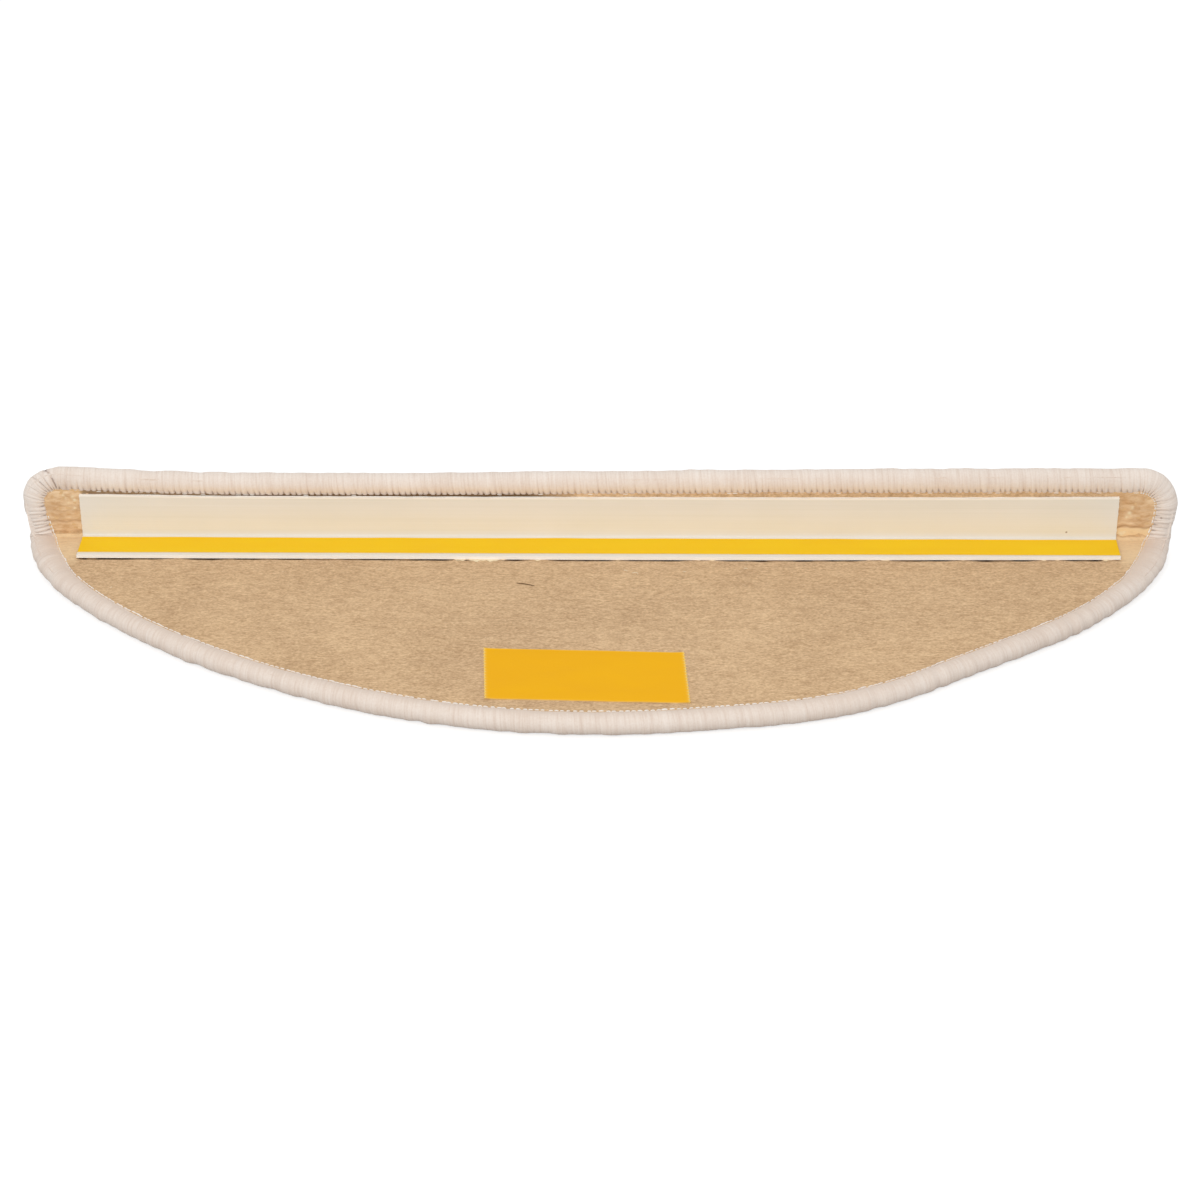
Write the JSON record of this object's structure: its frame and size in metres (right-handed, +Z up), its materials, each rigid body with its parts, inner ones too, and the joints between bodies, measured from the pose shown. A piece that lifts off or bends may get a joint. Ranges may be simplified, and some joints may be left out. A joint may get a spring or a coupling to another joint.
{
  "type": "half-round stair tread mat",
  "caption": "Half-round carpet mat for a stair tread, felt back up, bound edge, folded nose with a plastic angle and taped faces.",
  "frame": {"origin": "middle of the part's box seen from above, on the surface it lies on", "axes": "+X along the nose, +Y from the round edge to the nose, +Z up out of the felt back; the walking face is down"},
  "size_m": [0.6508, 0.2038, 0.0527],
  "materials": {
    "felt": "needled tan felt, dull",
    "pile": "beige carpet pile, dull",
    "yarn": "whipped pale yarn with a slight sheen",
    "plastic": "extruded ivory plastic, satin",
    "glue": "dried glue film, shiny",
    "tape": "tacky adhesive layer",
    "liner": "yellow release paper, satin"
  },
  "bodies": {
    "root": {"backing_felt": "felt", "pile_carpet": "pile", "edge_binding": "yarn", "nosing_angle": "plastic", "angle_glue": "glue", "strip_adhesive": "tape", "strip_liner": "liner", "pad_adhesive": "tape", "pad_liner": "liner"}
  },
  "joints": []
}
